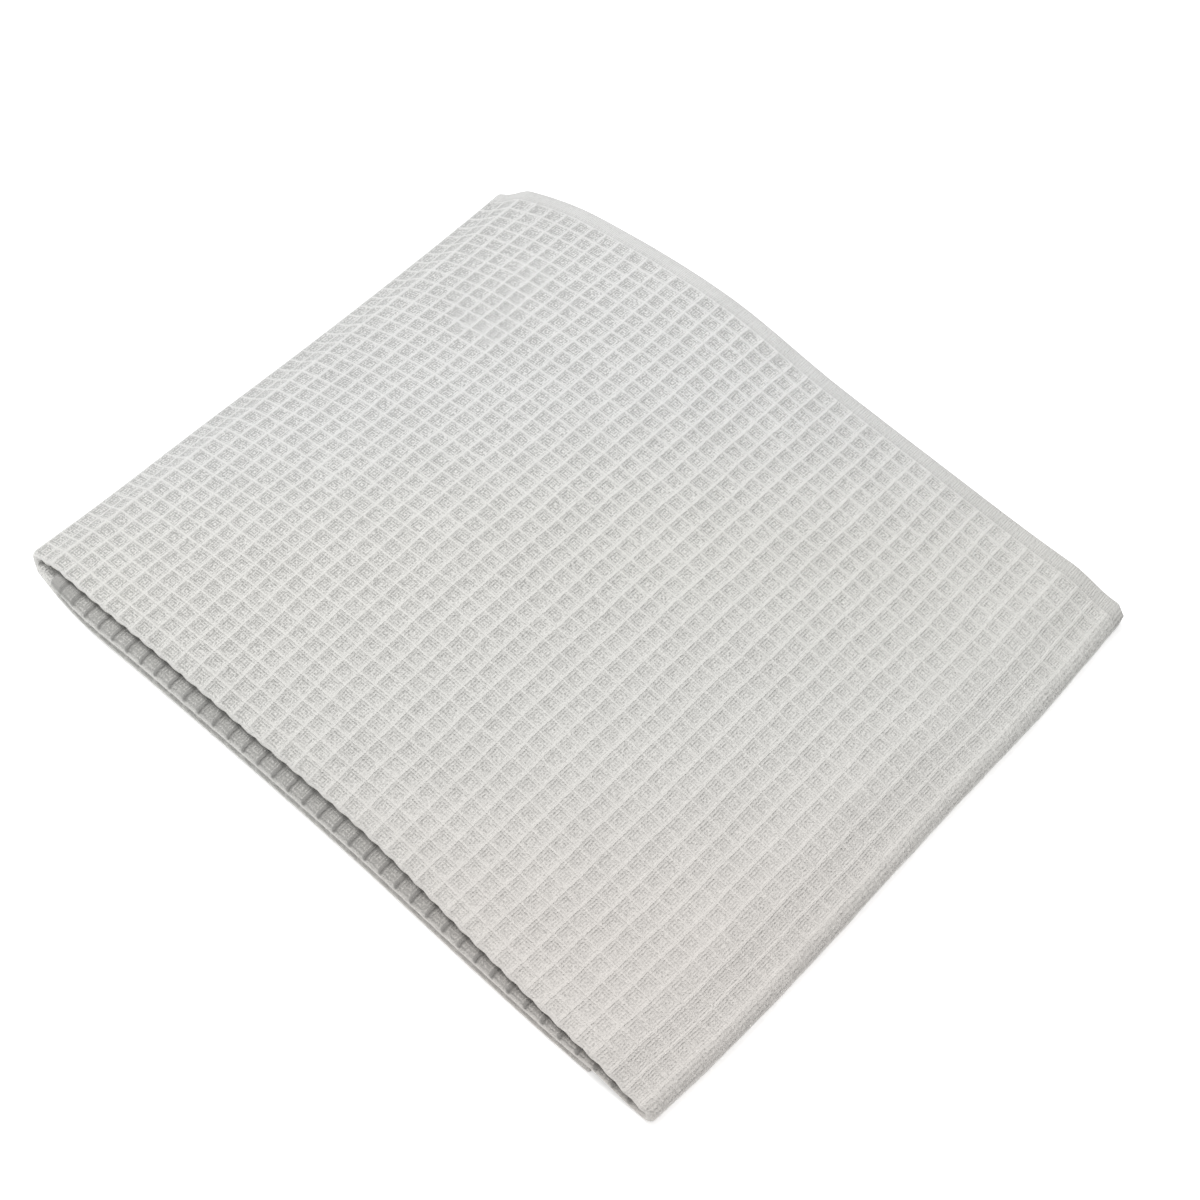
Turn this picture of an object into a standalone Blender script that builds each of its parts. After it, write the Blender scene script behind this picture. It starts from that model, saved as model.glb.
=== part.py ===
"""A waffle bath towel, folded in half along its length and then in three across, like a letter.

X runs along the pile from the soft roll to the tight fold, Y from the lengthwise crease to the hems, and
Z is up. The origin is under the middle of the pile. The cloth is one sheet, so the pile is one solid.

The sheet is a grid of rings and columns. The rings follow its length: bottom panel, roll, top panel,
tight fold, inner panel. The columns follow its width: hem of the outer ply, crease, hem of the inner ply.
"""
import bpy
import numpy as np

THICK = 0.0026  # the cloth, from ridge to ridge
GAP = 0.0008  # the least air between two plies
STEP = THICK + GAP  # from one pressed ply to the next

ROLL_X = -0.2130  # the outermost line of the soft roll
FOLD_X = 0.2145  # and of the tight fold
ROLL_START_X = -0.2050  # where the panels turn into them
FOLD_START_X = 0.2070
BOTTOM_END_X = 0.178  # where the bottom panel ends, short of the tight fold
INNER_END_X = -0.190  # where the inner panel ends, inside the roll
FULLNESS = 0.58  # how square the roll and the fold are: a circle's quarter has 0.55

FALL_TO_CREASE = {"from": 0.020, "to": -0.170, "power": 3.2}  # where the pile sinks, and how sharply
FALL_TO_HEM = {"from": 0.040, "to": 0.177, "power": 2.3}

# The pile from the roll to the fold. middle, hem and crease: how far its top stands above its plies
# pressed flat. hem_y and crease_y: where the top panel's edges lie. ledge: how far the creases below
# stand out past it.
PILE_COLUMNS = ("x", "middle", "hem", "crease", "hem_y", "crease_y", "ledge")
PILE = (
    (-0.205, 0.0020, 0.0015, 0.0015, 0.1645, -0.1698, 0.0035),
    (-0.190, 0.0042, 0.0030, 0.0026, 0.1704, -0.1700, 0.0055),
    (-0.170, 0.0080, 0.0055, 0.0045, 0.1758, -0.1700, 0.0072),
    (-0.120, 0.0190, 0.0150, 0.0065, 0.1776, -0.1688, 0.0074),
    (-0.050, 0.0265, 0.0210, 0.0055, 0.1770, -0.1672, 0.0072),
    (0.030, 0.0235, 0.0145, 0.0050, 0.1722, -0.1658, 0.0076),
    (0.110, 0.0145, 0.0060, 0.0045, 0.1733, -0.1695, 0.0046),
    (0.160, 0.0050, 0.0015, 0.0020, 0.1752, -0.1710, 0.0028),
    (0.192, 0.0010, 0.0003, 0.0004, 0.1766, -0.1714, 0.0012),
    (0.207, 0.0, 0.0, 0.0, 0.1776, -0.1715, 0.0005),
)

# How far out of line the roll and the fold lie, from the crease to the hems.
BOW_COLUMNS = ("y", "roll", "fold")
BOW = (
    (-0.172, -0.0028, -0.0049),
    (-0.130, -0.0008, -0.0017),
    (-0.070, 0.0003, 0.0001),
    (0.020, 0.0025, 0.0007),
    (0.110, 0.0028, 0.0023),
    (0.177, 0.0014, 0.0005),
)

# Each panel is an outer and an inner ply. under: the plies pressed below each. air and crease_air: how
# much of the pile's air lies below each, over most of it and at the crease. ledge: its crease's share of
# the ledge. hems: how far they stand past the top one.
PANELS = {
    "bottom": {
        "under": (0, 1.2),
        "air": (0.0, 0.16),
        "crease_air": (0.0, 0.30),
        "ledge": 1.0,
        "hems": (0.0010, -0.0030),
    },
    "top": {
        "under": (5.4, 4.4),
        "air": (1.0, 0.80),
        "crease_air": (1.0, 0.90),
        "ledge": 0.0,
        "hems": (0.0, -0.0040),
    },
    "inner": {
        "under": (2.2, 3.2),
        "air": (0.36, 0.56),
        "crease_air": (0.36, 0.86),
        "ledge": 1.0,
        "hems": (-0.0035, -0.0010),
    },
}
CREASE_AIR = (-0.150, -0.020)  # Y up to which the air is shared as at the crease, and from which no more
BOTTOM_PLIES = 2.1  # how many plies the others sink where the bottom panel has ended
INNER_PLIES = 2.0  # and the inner one
HEM_WAVE = 0.0010  # how far the hems wander
HEM_WAVES = 21.0  # and how fast, in radians a metre
PROBE = 0.001  # the half step that slopes are measured over

PATH = (("bottom", 18), ("roll", 10), ("top", 28), ("fold", 10), ("inner", 20))  # with the steps of each
TURNS = {
    "roll": {"panels": ("bottom", "top"), "from": ROLL_START_X, "to": ROLL_X},
    "fold": {"panels": ("top", "inner"), "from": FOLD_START_X, "to": FOLD_X},
}
SPANS = {
    "bottom": (BOTTOM_END_X, ROLL_START_X),
    "top": (ROLL_START_X, FOLD_START_X),
    "inner": (FOLD_START_X, INNER_END_X),
}
ENDS_CLOSER = 0.6  # how much closer together a panel's rings are at its ends: 0 is even
PLY_STEPS = 12  # from a hem to the crease
NOSE_STEPS = 6  # round the crease


def smooth(start, stop, value):
    """0 at start and 1 at stop, level beyond them, with a soft step between."""
    t = np.clip((value - start) / (stop - start), 0.0, 1.0)
    return t * t * (3.0 - 2.0 * t)


def through(table, columns, name, value):
    """A soft curve through a column of a table, against its first: cubic pieces sharing their slopes."""
    rows = np.array(table)
    at, to = rows[:, 0], rows[:, columns.index(name)]
    slope = np.gradient(to, at)
    i = np.clip(np.searchsorted(at, value) - 1, 0, len(at) - 2)
    width = at[i + 1] - at[i]
    t = np.clip((value - at[i]) / width, 0.0, 1.0)
    start = to[i] * (1.0 + 2.0 * t) * (1.0 - t) ** 2 + slope[i] * width * t * (1.0 - t) ** 2
    stop = to[i + 1] * t * t * (3.0 - 2.0 * t) + slope[i + 1] * width * t * t * (t - 1.0)
    return start + stop


def pile(name, x):
    """One column of the pile's table at x."""
    return through(PILE, PILE_COLUMNS, name, x)


def fall(rule, y):
    """0 where the pile is full, 1 at its edge."""
    return np.clip((y - rule["from"]) / (rule["to"] - rule["from"]), 0.0, 1.0) ** rule["power"]


def loft(x, y):
    """The air in the pile: full over the middle, less towards the crease and the hems."""
    middle = pile("middle", x)
    to_crease, to_hem = pile("crease", x) - middle, pile("hem", x) - middle
    return np.maximum(middle + to_crease * fall(FALL_TO_CREASE, y) + to_hem * fall(FALL_TO_HEM, y), 0.0)


def ply_height(panel, side, x, y):
    """The middle of one ply: half a cloth, the plies pressed below it, and its share of the loft."""
    on_bottom = smooth(FOLD_START_X, BOTTOM_END_X, x)
    on_inner = smooth(ROLL_START_X, INNER_END_X, x)
    sunk = BOTTOM_PLIES * (1.0 - on_bottom), INNER_PLIES * (1.0 - on_inner)
    lost = {"bottom": 0.0, "inner": sunk[0], "top": sunk[0] + sunk[1]}[panel]
    plies = PANELS[panel]["under"][side] - lost
    air, crease_air = PANELS[panel]["air"][side], PANELS[panel]["crease_air"][side]
    below = crease_air + (air - crease_air) * smooth(*CREASE_AIR, y)
    return THICK / 2.0 + STEP * plies + below * loft(x, y)


def panel_path(panel, x, y):
    """The height halfway between a panel's plies, and half the distance between them."""
    outer, inner = ply_height(panel, 0, x, y), ply_height(panel, 1, x, y)
    return (outer + inner) / 2.0, np.abs(outer - inner) / 2.0


def turn_path(turn, t, y):
    """A half turn from one panel to the next: two quarters, each a cubic curve from a panel's end."""
    first, second = TURNS[turn]["panels"]
    start_x, outermost = TURNS[turn]["from"], TURNS[turn]["to"]
    z_first, half_first = panel_path(first, start_x, y)
    z_second, half_second = panel_path(second, start_x, y)
    nose_x = outermost - np.sign(outermost) * (THICK + half_first + half_second) / 2.0
    nose_z = (z_first + z_second) / 2.0
    z_end = np.where(t <= 0.5, z_first, z_second)
    rise_first, rise_second = (
        panel_path(p, start_x + PROBE, y)[0] - panel_path(p, start_x - PROBE, y)[0]
        for p in (first, second)
    )
    slope = np.where(t <= 0.5, rise_first, rise_second) / (2.0 * PROBE)
    reach = nose_x - start_x
    q = 1.0 - np.abs(1.0 - 2.0 * t)
    near, early, late, far = (1 - q) ** 3, 3 * q * (1 - q) ** 2, 3 * q * q * (1 - q), q**3
    x = near * start_x + early * (start_x + FULLNESS * reach) + (late + far) * nose_x
    z = near * z_end + early * (z_end + FULLNESS * reach * slope) + far * nose_z
    z += late * (nose_z + FULLNESS * (z_end - nose_z))
    return x, z, half_first + (half_second - half_first) * t


def ring_rows():
    """One row for each ring: its stretch, how far along that it is, and its x, a turn's being its start."""
    rows = []
    for name, steps in PATH:
        t = np.linspace(0.0, 1.0, steps + 1)
        if name in TURNS:
            rows += [(name, a, TURNS[name]["from"]) for a in t[1:-1]]
        else:
            start, stop = SPANS[name]
            t += ENDS_CLOSER * ((1.0 - np.cos(np.pi * t)) / 2.0 - t)
            rows += [(name, a, start + (stop - start) * a) for a in t]
    return rows


def edges(name, t, x):
    """Where a ring's crease lies, and its two hems."""
    first, second = (PANELS[p] for p in (TURNS[name]["panels"] if name in TURNS else (name, name)))
    share = smooth(0.0, 1.0, t)
    ledge = first["ledge"] + (second["ledge"] - first["ledge"]) * share
    own = np.array(first["hems"]) + (np.array(second["hems"]) - np.array(first["hems"])) * share
    wave = HEM_WAVE * np.sin(HEM_WAVES * x + 2.0 * np.arange(2))
    return pile("crease_y", x) - ledge * pile("ledge", x), pile("hem_y", x) + own + wave


def bow(x, y):
    """How far the pile's ends pull a point along X."""
    share = (x - ROLL_X) / (FOLD_X - ROLL_X)
    roll, fold = through(BOW, BOW_COLUMNS, "roll", y), through(BOW, BOW_COLUMNS, "fold", y)
    return (1.0 - share) * roll + share * fold


def sheet_points():
    """The middle of the cloth: rings by columns of points."""
    ply = np.linspace(1.0, 0.0, PLY_STEPS + 1)
    nose = np.linspace(0.0, np.pi, NOSE_STEPS + 1)[1:-1]
    out = np.concatenate([ply, 0.0 * nose, ply[::-1]])
    side = np.concatenate([ply**0, np.cos(nose), -(ply**0)])
    bulge = np.concatenate([0.0 * ply, np.sin(nose), 0.0 * ply])
    place, apart = [], []
    for name, t, x in ring_rows():
        crease, hems = edges(name, t, x)
        if name in TURNS:
            at = lambda y: turn_path(name, t, y)
        else:
            at = lambda y: (x + 0.0 * y, *panel_path(name, x, y))
        radius = at(crease)[2]
        y = crease + radius * (1.0 - bulge) + out * (np.where(side > 0, *hems) - crease - radius)
        path_x, path_z, half = at(y)
        place.append(np.stack([path_x, y, path_z], axis=1))
        apart.append(side * half)
    place = np.array(place)
    along = np.gradient(place, axis=0)
    across = np.stack([-along[..., 2], 0.0 * along[..., 1], along[..., 0]], axis=-1)
    across /= np.linalg.norm(across, axis=-1, keepdims=True)
    across[: PATH[0][1]] = (0.0, 0.0, -1.0)  # the bottom panel lies flat
    points = place + across * np.array(apart)[..., None]
    points[..., 0] += bow(points[..., 0], points[..., 1])
    low = points[..., :2].min(axis=(0, 1)) - THICK / 2.0
    high = points[..., :2].max(axis=(0, 1)) + (THICK / 2.0, 0.0)  # the cut edges have no thickness
    points[..., :2] -= (low + high) / 2.0  # the origin is under the middle
    return points


def cotton():
    """Warm off-white cotton, matt."""
    material = bpy.data.materials.new("cotton")
    material.use_nodes = True
    shader = material.node_tree.nodes["Principled BSDF"]
    shader.inputs["Base Color"].default_value = (0.72, 0.71, 0.68, 1.0)
    shader.inputs["Roughness"].default_value = 0.92
    shader.inputs["Metallic"].default_value = 0.0
    return material


def towel():
    """The sheet, given its thickness."""
    points = sheet_points()
    rings, columns = points.shape[:2]
    index = np.arange(rings * columns).reshape(rings, columns)
    corners = index[:-1, :-1], index[1:, :-1], index[1:, 1:], index[:-1, 1:]
    faces = np.stack(corners, axis=-1).reshape(-1, 4)
    mesh = bpy.data.meshes.new("towel")
    mesh.from_pydata(points.reshape(-1, 3).tolist(), [], faces.tolist())
    mesh.shade_smooth()
    mesh.materials.append(cotton())
    obj = bpy.data.objects.new("towel", mesh)
    cloth = obj.modifiers.new("cloth", "SOLIDIFY")
    cloth.thickness = THICK
    cloth.offset = 0.0
    return obj


def main():
    for old in list(bpy.data.objects):
        bpy.data.objects.remove(old, do_unlink=True)
    collection = bpy.data.collections.new("bath_towel")
    bpy.context.scene.collection.children.link(collection)
    collection.objects.link(towel())


main()
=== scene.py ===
# A waffle bath towel, folded in half along its length and then in three across, like a letter.
# X runs from the soft roll to the tight fold, Y from the lengthwise crease to the hems, Z is up. Metres.
import bpy
import numpy as np
from mathutils import Matrix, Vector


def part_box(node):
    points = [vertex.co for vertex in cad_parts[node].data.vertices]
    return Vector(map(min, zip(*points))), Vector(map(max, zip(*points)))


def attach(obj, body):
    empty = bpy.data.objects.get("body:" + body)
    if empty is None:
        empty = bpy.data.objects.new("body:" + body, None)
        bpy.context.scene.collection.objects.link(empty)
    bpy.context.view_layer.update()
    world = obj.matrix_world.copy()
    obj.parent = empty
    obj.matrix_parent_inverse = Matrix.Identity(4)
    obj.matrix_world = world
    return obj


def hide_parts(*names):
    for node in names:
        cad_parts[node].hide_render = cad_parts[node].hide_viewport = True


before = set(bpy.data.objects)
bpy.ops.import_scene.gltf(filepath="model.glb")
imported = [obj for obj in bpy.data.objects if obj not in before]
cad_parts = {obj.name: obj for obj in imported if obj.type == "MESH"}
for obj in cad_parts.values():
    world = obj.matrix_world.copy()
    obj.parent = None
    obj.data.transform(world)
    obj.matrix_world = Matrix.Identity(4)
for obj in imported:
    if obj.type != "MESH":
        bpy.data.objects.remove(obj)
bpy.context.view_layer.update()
cadLow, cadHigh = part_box("towel")
print("frame loaded")

# The folds, as the solid has them. The sheet passes through five zones, and a place on its path is counted in
# them: 2.5 is the middle of the top panel. A panel is two plies, and its pairs give the outer one first.
folds = {
    "thick": 0.0026,            # ridge to ridge
    "step": 0.0034,             # from one pressed ply to the next
    "probe": 0.001,             # either way, to measure a panel's slope
    "zones": ("bottom", "roll", "top", "fold", "inner"),
    # X where each panel starts and ends
    "ends": {"bottom": (0.178, -0.205), "top": (-0.205, 0.207), "inner": (0.207, -0.190)},
    "turns": {                  # the panels before and after, X where it starts, X of its outermost line
        "roll": ("bottom", "top", -0.205, -0.2130),
        "fold": ("top", "inner", 0.207, 0.2145),
    },
    "fullness": 0.58,           # how square a turn is
    "toCrease": (0.020, -0.170, 3.2),    # Y where the pile starts to fall, Y of its edge, and a power
    "toHem": (0.040, 0.177, 2.3),
    "hemWave": (0.0010, 21.0, 2.0),      # how far the hems wave, how fast along X, and the inner one's shift
    "hemTuck": {"roll": 0.0025, "fold": 0.0010},    # how far they draw in round the turns
    "creaseAir": (-0.150, -0.020),       # Y where the air stops being shared as at the crease, and no more is
    "sunk": (2.1, 2.0),         # plies that the rest sink by past the bottom panel's end, and the inner one's
    "panels": {
        "bottom": {
            "under": (0.0, 1.2),         # plies pressed below each ply
            "air": (0.0, 0.16),          # the share of the pile's air below each ply
            "creaseAir": (0.0, 0.30),    # and at the crease
            "ledge": 1.0,                # the crease's share of the ledge
            "hems": (0.0010, -0.0030),   # how far the hems stand past the top one
        },
        "top": {
            "under": (5.4, 4.4),
            "air": (1.0, 0.80),
            "creaseAir": (1.0, 0.90),
            "ledge": 0.0,
            "hems": (0.0, -0.0040),
        },
        "inner": {
            "under": (2.2, 3.2),
            "air": (0.36, 0.56),
            "creaseAir": (0.36, 0.86),
            "ledge": 1.0,
            "hems": (-0.0035, -0.0010),
        },
    },
}
# Along X: how far the pile's top stands above its pressed plies over the middle, at the hems and at the
# crease, where the top panel's edges lie, and how far the creases below stand out past it.
pileNames = ("x", "middle", "hem", "crease", "hemY", "creaseY", "ledge")
pileRows = np.array((
    (-0.205, 0.0020, 0.0015, 0.0015, 0.1645, -0.1698, 0.0035),
    (-0.190, 0.0042, 0.0030, 0.0026, 0.1704, -0.1700, 0.0055),
    (-0.170, 0.0080, 0.0055, 0.0045, 0.1758, -0.1700, 0.0072),
    (-0.120, 0.0190, 0.0150, 0.0065, 0.1776, -0.1688, 0.0074),
    (-0.050, 0.0265, 0.0210, 0.0055, 0.1770, -0.1672, 0.0072),
    (0.030, 0.0235, 0.0145, 0.0050, 0.1722, -0.1658, 0.0076),
    (0.110, 0.0145, 0.0060, 0.0045, 0.1733, -0.1695, 0.0046),
    (0.160, 0.0050, 0.0015, 0.0020, 0.1752, -0.1710, 0.0028),
    (0.192, 0.0010, 0.0003, 0.0004, 0.1766, -0.1714, 0.0012),
    (0.207, 0.0, 0.0, 0.0, 0.1776, -0.1715, 0.0005),
))
# along Y: how far the roll and the fold bow along X
bowNames = ("y", "roll", "fold")
bowRows = np.array((
    (-0.172, -0.0028, -0.0049),
    (-0.130, -0.0008, -0.0017),
    (-0.070, 0.0003, 0.0001),
    (0.020, 0.0025, 0.0007),
    (0.110, 0.0028, 0.0023),
    (0.177, 0.0014, 0.0005),
))


# 0 before start, 1 after stop, and between them t times t times (3 - 2t)
def smooth(start, stop, value):
    t = np.clip((value - start) / (stop - start), 0.0, 1.0)
    return t * t * (3.0 - 2.0 * t)


# cubic pieces through a table's column, sharing their slopes
def softCurve(rows, column, value):
    at, to = rows[:, 0], rows[:, column]
    slope = np.gradient(to, at)
    i = np.clip(np.searchsorted(at, value) - 1, 0, len(at) - 2)
    width = at[i + 1] - at[i]
    t = np.clip((value - at[i]) / width, 0.0, 1.0)
    start = to[i] * (1.0 + 2.0 * t) * (1.0 - t) ** 2 + slope[i] * width * t * (1.0 - t) ** 2
    return start + to[i + 1] * t * t * (3.0 - 2.0 * t) + slope[i + 1] * width * t * t * (t - 1.0)


# a column of the pile's table at x
def pile(name, x):
    return softCurve(pileRows, pileNames.index(name), x)


# a column of the bow's table at y
def bow(name, y):
    return softCurve(bowRows, bowNames.index(name), y)


# share of the way to an edge, to a power: 0 where the pile is full, 1 at the edge
def fall(rule, y):
    start, stop, power = rule
    return np.clip((y - start) / (stop - start), 0.0, 1.0) ** power


# the air in the pile: full over the middle, less towards the crease and the hems
def loft(x, y):
    middle = pile("middle", x)
    toCrease, toHem = pile("crease", x) - middle, pile("hem", x) - middle
    return np.maximum(middle + toCrease * fall(folds["toCrease"], y) + toHem * fall(folds["toHem"], y), 0.0)


# half a cloth, the plies pressed below that haven't sunk, and the ply's share of the air
def plyHeight(name, side, x, y):
    panel = folds["panels"][name]
    onBottom = smooth(folds["ends"]["top"][1], folds["ends"]["bottom"][0], x)
    onInner = smooth(folds["ends"]["top"][0], folds["ends"]["inner"][1], x)
    sunkBottom, sunkInner = folds["sunk"][0] * (1.0 - onBottom), folds["sunk"][1] * (1.0 - onInner)
    sunk = {"bottom": 0.0, "inner": sunkBottom, "top": sunkBottom + sunkInner}[name]
    air, creaseAir = panel["air"][side], panel["creaseAir"][side]
    share = creaseAir + (air - creaseAir) * smooth(*folds["creaseAir"], y)
    return folds["thick"] / 2.0 + folds["step"] * (panel["under"][side] - sunk) + share * loft(x, y)


# height halfway between a panel's plies, and half their distance
def panelPath(name, x, y):
    outer, inner = plyHeight(name, 0, x, y), plyHeight(name, 1, x, y)
    return (outer + inner) / 2.0, np.abs(outer - inner) / 2.0


# a half turn of two quarters, each a cubic curve from a panel's end to the nose
def turnPath(name, t, y):
    first, second, startX, outermost = folds["turns"][name]
    zFirst, halfFirst = panelPath(first, startX, y)
    zSecond, halfSecond = panelPath(second, startX, y)
    noseX = outermost - np.sign(outermost) * (folds["thick"] + halfFirst + halfSecond) / 2.0
    noseZ = (zFirst + zSecond) / 2.0
    zEnd = np.where(t <= 0.5, zFirst, zSecond)
    before, after = startX - folds["probe"], startX + folds["probe"]
    rises = [panelPath(panel, after, y)[0] - panelPath(panel, before, y)[0] for panel in (first, second)]
    slope = np.where(t <= 0.5, *rises) / (after - before)
    reach, full = noseX - startX, folds["fullness"]
    q = 1.0 - np.abs(1.0 - 2.0 * t)
    near, early, late, far = (1.0 - q) ** 3, 3.0 * q * (1.0 - q) ** 2, 3.0 * q * q * (1.0 - q), q**3
    x = near * startX + early * (startX + full * reach) + (late + far) * noseX
    z = near * zEnd + early * (zEnd + full * reach * slope) + far * noseZ
    z = z + late * (noseZ + full * (zEnd - noseZ))
    return x, z, halfFirst + (halfSecond - halfFirst) * t


# x, z and half the plies' distance, at a share of a zone
def zonePath(name, t, x, y):
    if name in folds["turns"]:
        return turnPath(name, t, y)
    return (x, *panelPath(name, x, y))


# The weave. u counts cells along the sheet, c counts them across it: 39 at the outer hem, 0 on the crease,
# -39 at the inner hem. A pair is where something starts and where it is full.
weave = {
    "pitch": 0.01035,           # of a cell, along the sheet
    "rows": 39.0,               # of cells, from the crease to a hem
    "measured": 19.0,           # the row along which the cells are counted, and the steps that measure it
    "measures": 4001,
    "probe": 0.02,              # cells either way, to measure the cloth's slopes
    "nose": 0.3,                # cells from the crease's outermost line to where a ply lies flat
    "depth": (0.0008, 0.0014),  # of the pits, on the top panel and on the rest
    "underRoll": (1.3, 0.98),   # places on the path where the cloth passes from the top to the rest
    "underFold": (3.7, 4.02),
    "shallow": (2.2, 3.0, 0.35),    # places where the top panel's pits get shallower, and by how much
    "pressTop": (2.93, 3.12),   # places where the tight fold presses the pits, from the top panel's side
    "pressInner": (4.0, 3.80),  # and from the inner panel's
    "press": 0.75,              # how much of their depth it takes
    "ridgeU": (0.0, 0.13),      # cells from a ridge's middle to the end of its top, and to its foot
    "ridgeV": (0.0, 0.11),
    "dish": 0.25,               # how much of a pit's depth is its hollow, past the feet of its ridges
    "plainTop": (0.14, 0.30),   # cells from the crease to the pits
    "plainUnder": (0.02, 0.12),
    "plainHem": (1.0, 1.08),    # cells from a hem to the pits
    "scallop": 0.0006,          # how far the crease draws in between the ridges
    "wander": (0.015, 0.0125),  # how far the ridges wander along and across, in cells
    "stillCrease": (0.3, 2.0),  # cells from the crease to where they wander
    "stillHem": (0.0, 1.5),
    # waves of the wandering: radians for each cell along, for each cell across, shift and size
    "alongWaves": ((0.37, 0.61, 0.0, 1.0), (-0.71, 1.13, 1.0, 1.0), (0.9, 2.3, 0.0, 0.7)),
    "acrossWaves": ((0.47, 0.33, 2.0, 1.0), (1.27, -0.55, 0.0, 1.0), (2.1, 1.1, 0.0, 0.7)),
}


# The path halfway between the plies: its points, half the plies' distance, and the side that a ply is on,
# from 1 to -1 round the crease. Across a panel a point goes from the crease to the hem in step with c.
def foldPath(at, c):
    at, c = np.broadcast_arrays(at, c)
    nose, rows = weave["nose"], weave["rows"]
    zone = np.clip(at.astype(int), 0, len(folds["zones"]) - 1)
    angle = np.clip((nose - c) / nose, 0.0, 2.0) * np.pi / 2.0
    side, bulge = np.cos(angle), np.sin(angle)
    out = np.clip((np.abs(c) - nose) / (rows - nose), 0.0, 1.0)
    path, half = np.zeros(at.shape + (3,)), np.zeros(at.shape)
    size, rate, shift = folds["hemWave"]
    for k, name in enumerate(folds["zones"]):
        here = zone == k
        if not here.any():
            continue
        t = (at - k)[here]
        if name in folds["turns"]:
            first, second, x, _ = folds["turns"][name]
        else:
            first, second = name, name
            start, stop = folds["ends"][name]
            x = start + (stop - start) * t
        first, second = folds["panels"][first], folds["panels"][second]
        share = smooth(0.0, 1.0, t)
        ledge = first["ledge"] + (second["ledge"] - first["ledge"]) * share
        outer, inner = (a + (b - a) * share for a, b in zip(first["hems"], second["hems"]))
        wave = np.where(
            side[here] > 0, outer + size * np.sin(rate * x), inner + size * np.sin(rate * x + shift)
        )
        hem = pile("hemY", x) + wave - folds["hemTuck"].get(name, 0.0) * np.sin(np.pi * t)
        crease = pile("creaseY", x) - ledge * pile("ledge", x)
        radius = zonePath(name, t, x, crease)[2]
        y = crease + radius * (1.0 - bulge[here]) + out[here] * (hem - crease - radius)
        pathX, pathZ, half[here] = zonePath(name, t, x, y)
        path[here] = np.stack([pathX, y, pathZ], axis=-1)
    return path, half, side


# where each u lies on the path: u is the length of the path over the pitch
def measureCells():
    at = np.linspace(0.0, len(folds["zones"]) - 1e-6, weave["measures"])
    path = foldPath(at, weave["measured"])[0]
    length = np.concatenate([[0.0], np.cumsum(np.linalg.norm(np.diff(path, axis=0), axis=1))])
    return length / weave["pitch"], at


cellTable = measureCells()
cellsLong = float(cellTable[0][-1])
print("sheet", round(cellsLong * weave["pitch"], 4), "m long,", round(cellsLong, 2), "cells")


# the place on the path of a cell, between the table's rows
def placeOf(u):
    return np.interp(u, *cellTable)


# the same table the other way: the cell at a place
def cellAt(place):
    return float(np.interp(place, cellTable[1], cellTable[0]))


# the middle of the cloth: the path, moved along its normal by half the plies' distance, and bowed at the ends
def clothMiddle(u, c):
    path, half, side = foldPath(placeOf(u), c)
    along = foldPath(placeOf(u + weave["probe"]), c)[0] - foldPath(placeOf(u - weave["probe"]), c)[0]
    across = np.stack([-along[..., 2], 0.0 * along[..., 1], along[..., 0]], axis=-1)
    across /= np.maximum(np.linalg.norm(across, axis=-1, keepdims=True), 1e-9)
    flat = (placeOf(u) < 1.0)[..., None]    # the bottom panel
    across = np.where(flat, (0.0, 0.0, -1.0), across)
    points = path + across * (side * half)[..., None]
    rollX, foldX = folds["turns"]["roll"][3], folds["turns"]["fold"][3]
    share = (points[..., 0] - rollX) / (foldX - rollX)
    points[..., 0] += (1.0 - share) * bow("roll", points[..., 1])
    points[..., 0] += share * bow("fold", points[..., 1])
    return points


# a sum of sines of a mix of the two counts
def waves(rows, u, c):
    return sum(size * np.sin(forU * u + forC * c + shift) for forU, forC, shift, size in rows)


# points and outward normals; the normal is the cross product of the steps across and along. The points wander
# in the cloth by sums of slow waves, which die out at the crease and the hems.
def cloth(u, c):
    probe = weave["probe"]
    stepU = (clothMiddle(u + probe, c) - clothMiddle(u - probe, c)) / (2.0 * probe)
    stepC = (clothMiddle(u, c - probe) - clothMiddle(u, c + probe)) / (2.0 * probe)
    normal = np.cross(stepC, stepU)
    loose = smooth(*weave["stillCrease"], np.abs(c)) * smooth(*weave["stillHem"], weave["rows"] - np.abs(c))
    along = loose * waves(weave["alongWaves"], u, c) * weave["wander"][0]
    across = loose * waves(weave["acrossWaves"], u, c) * weave["wander"][1]
    points = clothMiddle(u, c) + stepU * along[..., None] - stepC * across[..., None]
    return points, normal / np.maximum(np.linalg.norm(normal, axis=-1, keepdims=True), 1e-12)


# cells to the nearest cut edge
def fromEdge(u, c):
    return np.minimum(weave["rows"] - np.abs(c), np.minimum(u, cellsLong - u))


# how far the weave lies below the ridges: the pits' depth, times what each set of ridges leaves of it, some
# of it as a hollow that deepens to the middle
def relief(u, c):
    du = np.abs(u - np.round(u))
    dv = np.abs(np.abs(c) - np.round(np.abs(c)))
    place = placeOf(u)
    under = smooth(*weave["underFold"], place) + smooth(*weave["underRoll"], place)
    left = smooth(*weave["ridgeU"], du) * smooth(*weave["ridgeV"], dv)
    left = left * (1.0 - weave["dish"] * (1.0 - 2.0 * np.minimum(du, dv)))
    plainTop, plainUnder = smooth(*weave["plainTop"], np.abs(c)), smooth(*weave["plainUnder"], np.abs(c))
    woven = plainTop * (1.0 - under) + plainUnder * under
    start, stop, loss = weave["shallow"]
    onTop, onRest = weave["depth"]
    depth = onTop + (onRest - onTop) * under
    depth = depth * (1.0 - loss * smooth(start, stop, place) * (1.0 - under))
    pressed = smooth(*weave["pressTop"], place) * smooth(*weave["pressInner"], place)
    depth = depth * (1.0 - weave["press"] * pressed)
    scallop = weave["scallop"] * (1.0 - woven) * (1.0 - under) * smooth(0.0, 0.5, du)
    return (depth * left * woven + scallop) * smooth(*weave["plainHem"], fromEdge(u, c))


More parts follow.
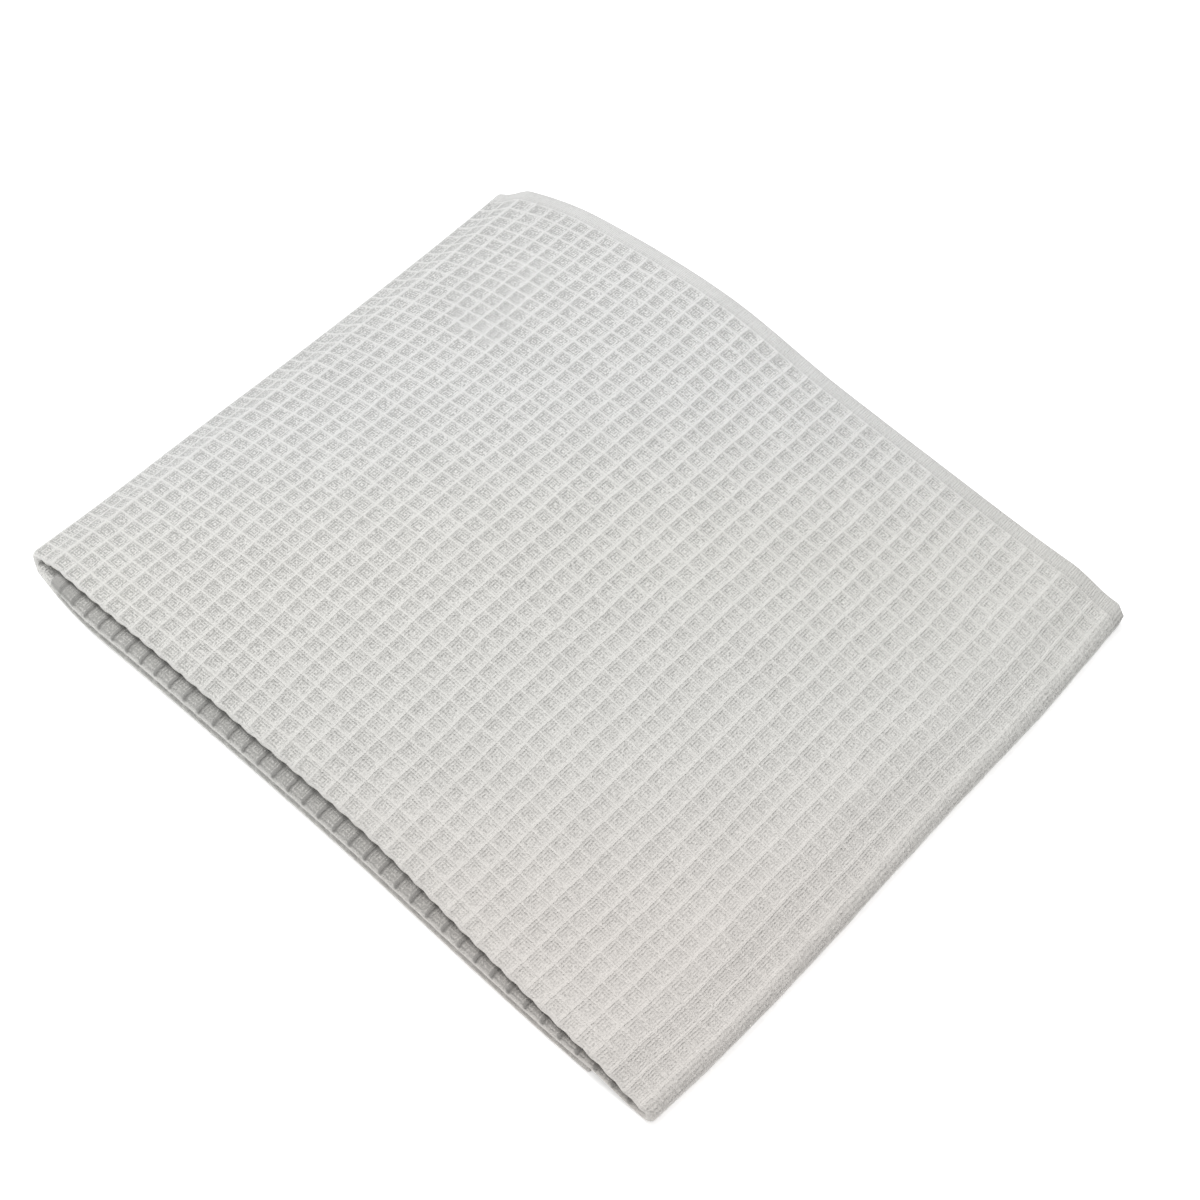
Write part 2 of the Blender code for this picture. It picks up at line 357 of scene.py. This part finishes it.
# 0 at the cloth's cut edges, 1 half its thickness in: a quarter circle
def rounding(u, c):
    width = 0.5 * folds["thick"] / weave["pitch"]
    near = np.clip(fromEdge(u, c) / width, 0.0, 1.0)
    return np.sqrt(1.0 - (1.0 - near) ** 2)


# the towel's net: places across the sheet and along it, in cells
net = {
    "hem": (0.0, 0.02, 0.07, 0.14, 0.45, 0.75, 0.93, 1.0),    # in from a side hem
    "endHem": (0.0, 0.02, 0.07, 0.14, 0.45),    # in from an end hem
    "nose": 13,                 # columns round the crease
    "across": (0.0, 0.05, 0.12, 0.50, 0.88, 0.95),    # within a cell
    "along": (0.0, 0.06, 0.15, 0.50, 0.85, 0.94),
    "halves": (0.0, 0.5),       # within a cell of the bottom panel
    "hidden": (0.46, 1.0, 3.0, 9.0, 19.0, 29.0, 36.0),    # out from the crease where nothing shows
    "tucked": (4.0, 7.0, 11.0, 16.0, 21.0, 26.0, 31.0, 35.0),    # and on the inner panel, past two cells
    "inside": (0.0, 0.1, 0.2, 0.3, 0.6, 2.0, 5.0, 9.0, 14.0, 19.0, 24.0, 29.0, 34.0, 38.0, 38.86, 39.0),
    "topFrom": 0.98,            # places on the path where the fine rings start and stop, out of sight
    "topTo": 4.02,
}


# places within each of the cells from first to last
def samples(first, last, within):
    return (np.arange(first, last)[:, None] + np.array(within)[None, :]).ravel()


# places across a row of cells, out from the crease's nose
def pastNose(last, within):
    places = samples(0, last, within)
    return places[places > weave["nose"] + 0.01]


# the columns of each length of the sheet, from the inner hem over the crease to the outer hem
def netColumns():
    inRow = weave["rows"] - 1.0
    hem = weave["rows"] - np.array(net["hem"])
    nose = np.linspace(-1.0, 1.0, net["nose"]) * weave["nose"]
    hidden, tucked = np.array(net["hidden"]), np.array(net["tucked"])
    fine, coarse = pastNose(inRow, net["across"]), pastNose(inRow, net["halves"])
    ledge = pastNose(2, net["across"])
    columns = {
        "bottom": (-hem, -hidden, nose, coarse, hem),
        "top": (-hem, -hidden, nose, fine, hem),
        "inner": (-hem, -tucked, -ledge, nose, hidden, hem),
    }
    return {name: np.unique(np.round(np.concatenate(parts), 6)) for name, parts in columns.items()}


# the rings of each length of the sheet: hem, bottom panel; roll, top panel, fold; inner panel, hem
def netRings():
    topFrom, topTo = int(cellAt(net["topFrom"])), int(np.ceil(cellAt(net["topTo"])))
    endHem = np.array(net["endHem"])
    return {
        "bottom": np.concatenate([endHem, samples(1, topFrom, net["halves"])]),
        "top": np.append(samples(topFrom, topTo, net["along"]), topTo),
        "inner": np.concatenate(
            [samples(topTo, int(cellsLong) - 1, net["along"])[1:], cellsLong - endHem[::-1]]
        ),
    }


# two edges joined by triangles: each step of either takes the nearest point of the other
def zipEdges(a, aAt, b, bAt):
    aMiddle, bMiddle = (aAt[1:] + aAt[:-1]) / 2.0, (bAt[1:] + bAt[:-1]) / 2.0
    nearest = np.searchsorted(bMiddle, aMiddle)
    turn = np.searchsorted(nearest, np.arange(len(b) - 1), side="right")
    first = np.stack([a[:-1], b[nearest], a[1:]], axis=-1)
    return np.concatenate([first, np.stack([a[turn], b[:-1], b[1:]], axis=-1)])


# The outward face is three grids, joined end to end, with the weave. The inward face is one plain grid. Four
# rims close them. Each grid is the cloth's middle, moved along its normal by half the thickness.
def makeTowel():
    points, labels, quads, triangles = [], [], [], []

    # a grid on one face: half the thickness out, less the relief, or half the thickness in
    def layGrid(u, c, outward):
        gridU, gridC = np.meshgrid(u, c, indexing="ij")
        middle, normal = cloth(gridU, gridC)
        offset = folds["thick"] / 2.0 * rounding(gridU, gridC)
        offset = offset - relief(gridU, gridC) if outward else -offset
        index = sum(len(part) for part in points) + np.arange(gridU.size).reshape(gridU.shape)
        first, last = index[:-1, :-1], index[1:, 1:]
        second, fourth = (last, first) if outward else (first, last)
        points.append((middle + normal * offset[..., None]).reshape(-1, 3))
        labels.append(np.stack([gridU, gridC], axis=-1).reshape(-1, 2))
        corners = index[1:, :-1], second, index[:-1, 1:], fourth
        quads.append(np.stack(corners, axis=-1).reshape(-1, 4))
        return index

    rings, columns = netRings(), netColumns()
    face = {name: layGrid(u, columns[name], True) for name, u in rings.items()}
    for name, following in (("bottom", "top"), ("top", "inner")):
        triangles.append(zipEdges(face[name][-1], columns[name], face[following][0], columns[following]))
    print("outward face made")

    insideU = np.concatenate([np.arange(0.0, int(cellsLong)), [cellsLong]])
    insideC = np.array(net["inside"])
    insideC = np.concatenate([-insideC[:0:-1], insideC])
    back = layGrid(insideU, insideC, False)
    sideU = np.concatenate(list(rings.values()))
    innerHem, outerHem = (np.concatenate([index[:, end] for index in face.values()]) for end in (0, -1))
    triangles.append(zipEdges(back[0], insideC, face["bottom"][0], columns["bottom"]))
    triangles.append(zipEdges(back[-1], insideC, face["inner"][-1], columns["inner"])[:, ::-1])
    triangles.append(zipEdges(back[:, -1], insideU, outerHem, sideU))
    triangles.append(zipEdges(back[:, 0], insideU, innerHem, sideU)[:, ::-1])

    points = np.concatenate(points)
    low, high = points[:, :2].min(axis=0), points[:, :2].max(axis=0)
    points[:, :2] += (np.array(cadLow[:2]) + np.array(cadHigh[:2]) - low - high) / 2.0
    return meshObject("towel_cloth", points, *map(np.concatenate, (quads, triangles, labels)))


# a mesh of quads and triangles, its UV map the cells along and across
def meshObject(name, points, quads, triangles, labels):
    mesh = bpy.data.meshes.new(name)
    loops = np.concatenate([quads.ravel(), triangles.ravel()]).astype(np.int32)
    starts = np.concatenate([np.arange(len(quads)) * 4, len(quads) * 4 + np.arange(len(triangles)) * 3])
    mesh.vertices.add(len(points))
    mesh.vertices.foreach_set("co", points.ravel())
    mesh.loops.add(len(loops))
    mesh.loops.foreach_set("vertex_index", loops)
    mesh.polygons.add(len(starts))
    mesh.polygons.foreach_set("loop_start", starts.astype(np.int32))
    mesh.update(calc_edges=True)
    layer = mesh.uv_layers.new(name="cells")
    layer.data.foreach_set("uv", labels[loops].ravel())
    mesh.validate()
    mesh.shade_smooth()
    obj = bpy.data.objects.new(name, mesh)
    bpy.context.scene.collection.objects.link(obj)
    print(name, len(quads) * 2 + len(triangles), "triangles")
    return obj


towel = makeTowel()


# a node socket that takes arithmetic
class Socket:
    def __init__(self, build, link):
        self.build, self.link = build, link

    # a Math node on this value and the others
    def math(self, operation, *others):
        return self.build.node("ShaderNodeMath", {"operation": operation}, dict(enumerate([self, *others])))

    def __add__(self, other):
        return self.math("ADD", other)

    def __radd__(self, other):
        return self.math("ADD", other)

    def __sub__(self, other):
        return self.math("SUBTRACT", other)

    def __rsub__(self, other):
        return self.build.node("ShaderNodeMath", {"operation": "SUBTRACT"}, {0: other, 1: self})

    def __mul__(self, other):
        return self.math("MULTIPLY", other)

    def __rmul__(self, other):
        return self.math("MULTIPLY", other)

    def __abs__(self):
        return self.math("ABSOLUTE")


# makes a material's nodes
class Build:
    def __init__(self, name):
        self.material = bpy.data.materials.new(name)
        self.material.use_nodes = True
        self.tree = self.material.node_tree
        self.shader = self.tree.nodes["Principled BSDF"]

    # a node of a type, with its settings and then its inputs, which are values or sockets
    def node(self, kind, settings=None, inputs=None, output=0):
        made = self.tree.nodes.new(kind)
        for name, value in (settings or {}).items():
            setattr(made, name, value)
        for name, value in (inputs or {}).items():
            self.put(made.inputs[name], value)
        return Socket(self, made.outputs[output])

    # links a socket's input, or sets its value
    def put(self, socket, value):
        if isinstance(value, Socket):
            self.tree.links.new(value.link, socket)
        else:
            socket.default_value = value

    # a vector's three parts
    def parts(self, vector):
        first = self.node("ShaderNodeSeparateXYZ", {}, {0: vector})
        return [Socket(self, link) for link in first.link.node.outputs]

    # 0.5 on average
    def noise(self, place, scale, detail):
        return self.node("ShaderNodeTexNoise", {}, {"Vector": place, "Scale": scale, "Detail": detail})

    # 0 at start and before, 1 at stop and past it, with soft ends
    def step(self, value, start, stop):
        return self.node(
            "ShaderNodeMapRange",
            {"interpolation_type": "SMOOTHSTEP"},
            {0: value, 1: start, 2: stop, 3: 0.0, 4: 1.0},
        )

    # the sine of so many waves for each unit of value, moved by shift
    def wave(self, value, count, shift=0.0):
        return (value * (2.0 * np.pi * count) + shift).math("SINE")

    # the first colour where factor is 0; where it is 1, the second, or with MULTIPLY their product
    def mix(self, factor, first, second, blend="MIX"):
        settings = {"data_type": "RGBA", "blend_type": blend}    # whose colours are inputs 6 and 7, output 2
        return self.node("ShaderNodeMix", settings, {0: factor, 6: first, 7: second}, 2)


# The cotton: colours, noises, then distances in cells. A pair is where something starts and where it is full.
cotton = {
    "ridge": (0.834, 0.834, 0.823, 1.0),
    # the darker colour, which the painted shade of pits, walls, ledges and the roll reaches towards, as do
    # yarns, stitches and hems
    "pit": (0.475, 0.475, 0.468, 1.0),
    "warm": ((1.0, 0.990, 0.964, 1.0), -0.15, 0.02),    # a tint, and the pair of X - Y where it sets in
    "pink": ((1.0, 0.966, 0.957, 1.0), 0.10, 0.30),
    "skew": 0.4,
    "foldSideShade": ((0.93, 0.93, 0.93, 1.0), -0.20, 0.12),      # a tint of painted shade, darker towards the fold and the crease, and the pair of X - skew Y where it sets in
    "contrast": (1.35, 0.50, -0.25, 0.30),    # of the pits' painted shade and fine marks at the roll and at the fold, and the same pair
    "deep": (0.45, 0.45, 0.45, 1.0),          # the tint of full shade
    "mottle": (850.0, 1.0),     # noises: scale and detail
    "fibres": (1500.0, 1.0),
    "cloud": (45.0, 2.0),
    "yarns": 7.0,               # yarns to a cell
    "squares": 0.7,             # how much of a yarn's wave is its square, the rest being its floats
    "floor": (0.34, 0.44),      # from the middle of a pit to where it lightens
    "wallShade": (0.43, 0.49),       # and to the ridge's lightest line, up to which painted shade covers the cell
    "outlineShade": (0.30, 0.47),    # and to the painted shadow of the ridges that outlines the inner panel's pits
    "hem": (0.96, 1.03),        # from a cut edge to the first pits
    "stitches": (0.84, 0.95),   # from a cut edge to the hem's two rows of stitches
    "stitchHalf": (0.01, 0.03),    # half a row's width, and where it has faded out
    "stitchGap": (-0.6, 0.2),   # of the stitches' wave
    "stitchCount": 4.0,         # stitches to a cell
    "seamShade": (1.0, 0.05),        # from a cut edge to the painted shade beside the stitches, and half its width
    "threads": 9.0,             # threads to a cell across the hem
    "crease": (0.10, 0.22),     # from the crease's middle to the end of its plain band
    "face": (0.02, 0.10),       # and to the shaded face of a ledge
    "faceDeep": (0.02, 0.12),
    "faceOutline": (0.04, 0.12),
    "covered": (-1.0, 0.0),     # past the start of the roll
    "tucked": (0.0, 1.0),       # past the end of the tight fold
    "pressed": (-0.4, 0.2),     # past the start of the tight fold
    "free": (-0.3, 0.0),        # past its end
    "inside": (-2.2, -0.8),     # past the end of the inner panel, where painted shade darkens the inside of the roll
    "bump": 0.0003,
    "bumpYarns": 0.5,           # how much the yarns raise it, and the fine noises
    "bumpSpeckle": 1.5,
    "roughness": 0.92,
    "specular": 0.2,
    "sheen": 0.15,
    "shade": {"face": 0.30, "outlineShade": 0.40},    # of the inner panel's face
    "dark": {                   # how far each thing takes the colour from the ridge's to the pit's
        # painted shade in the pits' hollows
        "pit": 0.34,
        "yarns": 0.36,          # their wave, in the pits
        "speckle": 1.1,         # the fine noises, in the pits
        "rollSideShade": 0.15,           # painted shade on the pits' side towards the roll, and painted light on their other side
        # painted shade over each cell but the ridges' lightest lines
        "wallShade": 0.14,
        "wallRollSideShade": 0.4,        # of the painted shade towards the roll, on the walls
        "lessPressed": 0.5,     # of the pits where the fold presses them
        "fuzz": 0.5,            # the fine noises, everywhere
        "pressedFuzz": 0.8,     # and more where the fold presses the pits
        "lessHem": 0.7,         # of the fuzz, on the hems
        "pressed": 0.12,
        "face": 0.38,           # painted shade on the inner panel's face, under the top panel's crease
        # painted shadow of the ridges on the outlines of the inner panel's pits
        "faceOutline": 0.5,
        # painted shade on the inner panel's end, inside the roll
        "inside": 0.30,
        "cloud": 0.25,
        "stitches": 0.35,
        # painted shade beside the stitches
        "seamShade": 0.3,
        "hem": 0.34,
        "threads": 0.16,
    },
}


# The weave of a cell is square within square: each yarn lies along the nearest ridge, so its height is a wave
# of the greater of the two distances from the middle, broken into floats by a wave of the lesser.
def makeCotton():
    b = Build("cotton")
    dark, shade = cotton["dark"], cotton["shade"]
    u, c, _ = b.parts(b.node("ShaderNodeUVMap", {"uv_map": "cells"}))
    place = b.node("ShaderNodeTexCoord", output=3)    # Object coordinates
    x, y, _ = b.parts(place)
    mottle, fibres, cloud = (b.noise(place, *cotton[name]) for name in ("mottle", "fibres", "cloud"))
    corner, spread = x - y, x - y * cotton["skew"]

    # distances in cells: from a cell's middle, from the crease, from the nearest cut edge
    du, dv = abs(u.math("FRACT") - 0.5), abs(abs(c).math("FRACT") - 0.5)
    far, near = du.math("MAXIMUM", dv), du.math("MINIMUM", dv)
    fromCrease = abs(c)
    edge = (weave["rows"] - fromCrease).math("MINIMUM", u.math("MINIMUM", cellsLong - u))

    # 1 on each stretch of the sheet, 0 off it
    def past(start, name):
        return b.step(u, start + cotton[name][0], start + cotton[name][1])

    rollStart, foldStart, foldEnd = cellAt(1.0), cellAt(3.0), cellAt(4.0)
    tucked = past(foldEnd, "tucked")
    covered = tucked + 1.0 - past(rollStart, "covered")
    pressed = past(foldStart, "pressed") * (1.0 - past(foldEnd, "free"))
    # the end of the inner panel inside the roll, which gets painted shade
    inside = past(cellsLong, "inside")
    hem = 1.0 - b.step(edge, *cotton["hem"])
    band = (1.0 - b.step(fromCrease, *cotton["crease"])) * (1.0 - covered)
    woven = 1.0 - hem.math("MAXIMUM", band)

    # yarns, noises and stitches, and painted shade beside the stitches
    rough = (mottle - 0.5) * 2.0
    speckle = (mottle - 0.5) + (fibres - 0.5)
    squares = b.wave(far, cotton["yarns"], rough)
    floats = b.wave(near, cotton["yarns"], squares + rough)
    yarns = squares * cotton["squares"] + floats * (1.0 - cotton["squares"])
    threads = b.wave(u, cotton["threads"])
    first, second = cotton["stitches"]
    fromStitches = abs(edge - first).math("MINIMUM", abs(edge - second))
    stitches = 1.0 - b.step(fromStitches, *cotton["stitchHalf"])
    stitches = stitches * b.step(b.wave(u, cotton["stitchCount"]), *cotton["stitchGap"])
    # painted shade beside the hem's stitches
    seamAt, seamHalf = cotton["seamShade"]
    seamShade = 1.0 - b.step(abs(edge - seamAt), 0.0, seamHalf)

    # how dark: the top panel first, its pits' painted shade and marks scaled by a contrast that falls from
    # the roll to the fold, then the inner panel's painted shade, then the hems
    atRoll, atFold, start, stop = cotton["contrast"]
    contrast = atRoll + b.step(spread, start, stop) * (atFold - atRoll)
    contrast = contrast * (1.0 - tucked) + tucked
    # painted shade on each pit's side towards the roll, and painted light on its other side
    rollSideShade = (0.5 - u.math("FRACT")) * (2.0 * dark["rollSideShade"]) * (1.0 - covered)
    # painted shade in each pit's hollow, less where the fold presses the pits shallow, with the yarns and
    # noises of its weave
    pit = (1.0 - b.step(far, *cotton["floor"])) * woven * (1.0 - pressed * dark["lessPressed"])
    # painted shade over the cell up to the ridges' lightest lines, stronger on the side towards the roll
    wallShade = (1.0 - b.step(far, *cotton["wallShade"])) * woven
    amount = pit * (dark["pit"] - yarns * dark["yarns"] - speckle * dark["speckle"] + rollSideShade)
    amount = amount + wallShade * (dark["wallShade"] + rollSideShade * dark["wallRollSideShade"])
    fuzz = speckle * (dark["fuzz"] + pressed * dark["pressedFuzz"]) * (1.0 - hem * dark["lessHem"])
    amount = (amount - fuzz) * contrast + pressed * dark["pressed"]
    # painted shade on the inner panel's face under the top panel's crease, and the ridges' painted shadow
    # outlining its pits
    outlineShade = b.step(du, *cotton["outlineShade"]) * b.step(fromCrease, *cotton["faceOutline"])
    face = b.step(fromCrease, *cotton["face"]) * dark["face"] + outlineShade * dark["faceOutline"]
    amount = amount + tucked * face + inside * dark["inside"] + (cloud - 0.5) * dark["cloud"]
    amount = amount + stitches * dark["stitches"] + seamShade * dark["seamShade"]
    amount = amount + hem * (dark["hem"] + threads * dark["threads"])

    colour = b.mix(amount, cotton["ridge"], cotton["pit"])
    # warm and pink tints, then painted shade towards the fold and the crease
    for name, where in (("warm", corner), ("pink", corner), ("foldSideShade", spread)):
        tint, start, stop = cotton[name]
        colour = b.mix(b.step(where, start, stop), colour, tint, "MULTIPLY")
    faceShade = b.step(fromCrease, *cotton["faceDeep"]) * shade["face"] + outlineShade * shade["outlineShade"]
    colour = b.mix(tucked * faceShade, colour, cotton["deep"], "MULTIPLY")
    height = yarns * cotton["bumpYarns"] + speckle * cotton["bumpSpeckle"]
    bump = b.node("ShaderNodeBump", {}, {"Strength": 1.0, "Distance": cotton["bump"], "Height": height})
    b.put(b.shader.inputs["Base Color"], colour)
    b.put(b.shader.inputs["Normal"], bump)
    b.put(b.shader.inputs["Roughness"], cotton["roughness"])
    b.put(b.shader.inputs["Specular IOR Level"], cotton["specular"])
    b.put(b.shader.inputs["Sheen Weight"], cotton["sheen"])
    return b.material


towel.data.materials.append(makeCotton())
print("cotton made")
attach(towel, "root")
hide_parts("towel")

# the floor, the light and the camera
studio = {
    "floor": (0.99, 0.99, 0.99, 1.0),
    "floorSize": 12.0,
    "floorRoughness": 0.9,
    "glow": 0.35,               # the floor's own light, which takes the shadows off it
    "sky": 0.28,
    "white": (1.0, 1.0, 1.0, 1.0),
    "lamps": (                  # name, place, watts and size
        ("key", (-1.3, -0.1, 2.9), 36.0, 0.8),
        ("overhead", (-0.1, -0.1, 3.0), 54.0, 2.5),
    ),
    "sensor": 36.0,             # millimetres
    "lens": 57.0,
    "cameraAt": (0.34704, -0.35648, 0.82600),
    # the camera's right, up and backwards
    "cameraAxes": ((0.7359, 0.6771, 0.0), (-0.5804, 0.6308, 0.5150), (0.3487, -0.3790, 0.8572)),
}

bpy.ops.mesh.primitive_plane_add(size=studio["floorSize"], location=(0.0, 0.0, 0.0))
floor = bpy.context.object
floor.name = "floor"
paint = Build("floor")
paint.put(paint.shader.inputs["Base Color"], studio["floor"])
paint.put(paint.shader.inputs["Roughness"], studio["floorRoughness"])
paint.put(paint.shader.inputs["Emission Color"], studio["floor"])
paint.put(paint.shader.inputs["Emission Strength"], studio["glow"])
floor.data.materials.append(paint.material)

world = bpy.data.worlds.new("studio")
bpy.context.scene.world = world
world.use_nodes = True
world.node_tree.nodes["Background"].inputs["Color"].default_value = studio["white"]
world.node_tree.nodes["Background"].inputs["Strength"].default_value = studio["sky"]

for name, place, power, size in studio["lamps"]:
    lamp = bpy.data.lights.new(name, "AREA")
    lamp.energy, lamp.size = power, size
    holder = bpy.data.objects.new(name, lamp)
    holder.location = place
    holder.rotation_euler = (-holder.location).to_track_quat("-Z", "Y").to_euler()
    bpy.context.scene.collection.objects.link(holder)

lens = bpy.data.cameras.new("camera")
lens.sensor_width, lens.lens = studio["sensor"], studio["lens"]
camera = bpy.data.objects.new("camera", lens)
turned = Matrix(studio["cameraAxes"]).transposed().to_4x4()
turned.translation = studio["cameraAt"]
camera.matrix_world = turned
bpy.context.scene.collection.objects.link(camera)
bpy.context.scene.camera = camera
bpy.context.scene.view_settings.view_transform = "Standard"
print("studio made")
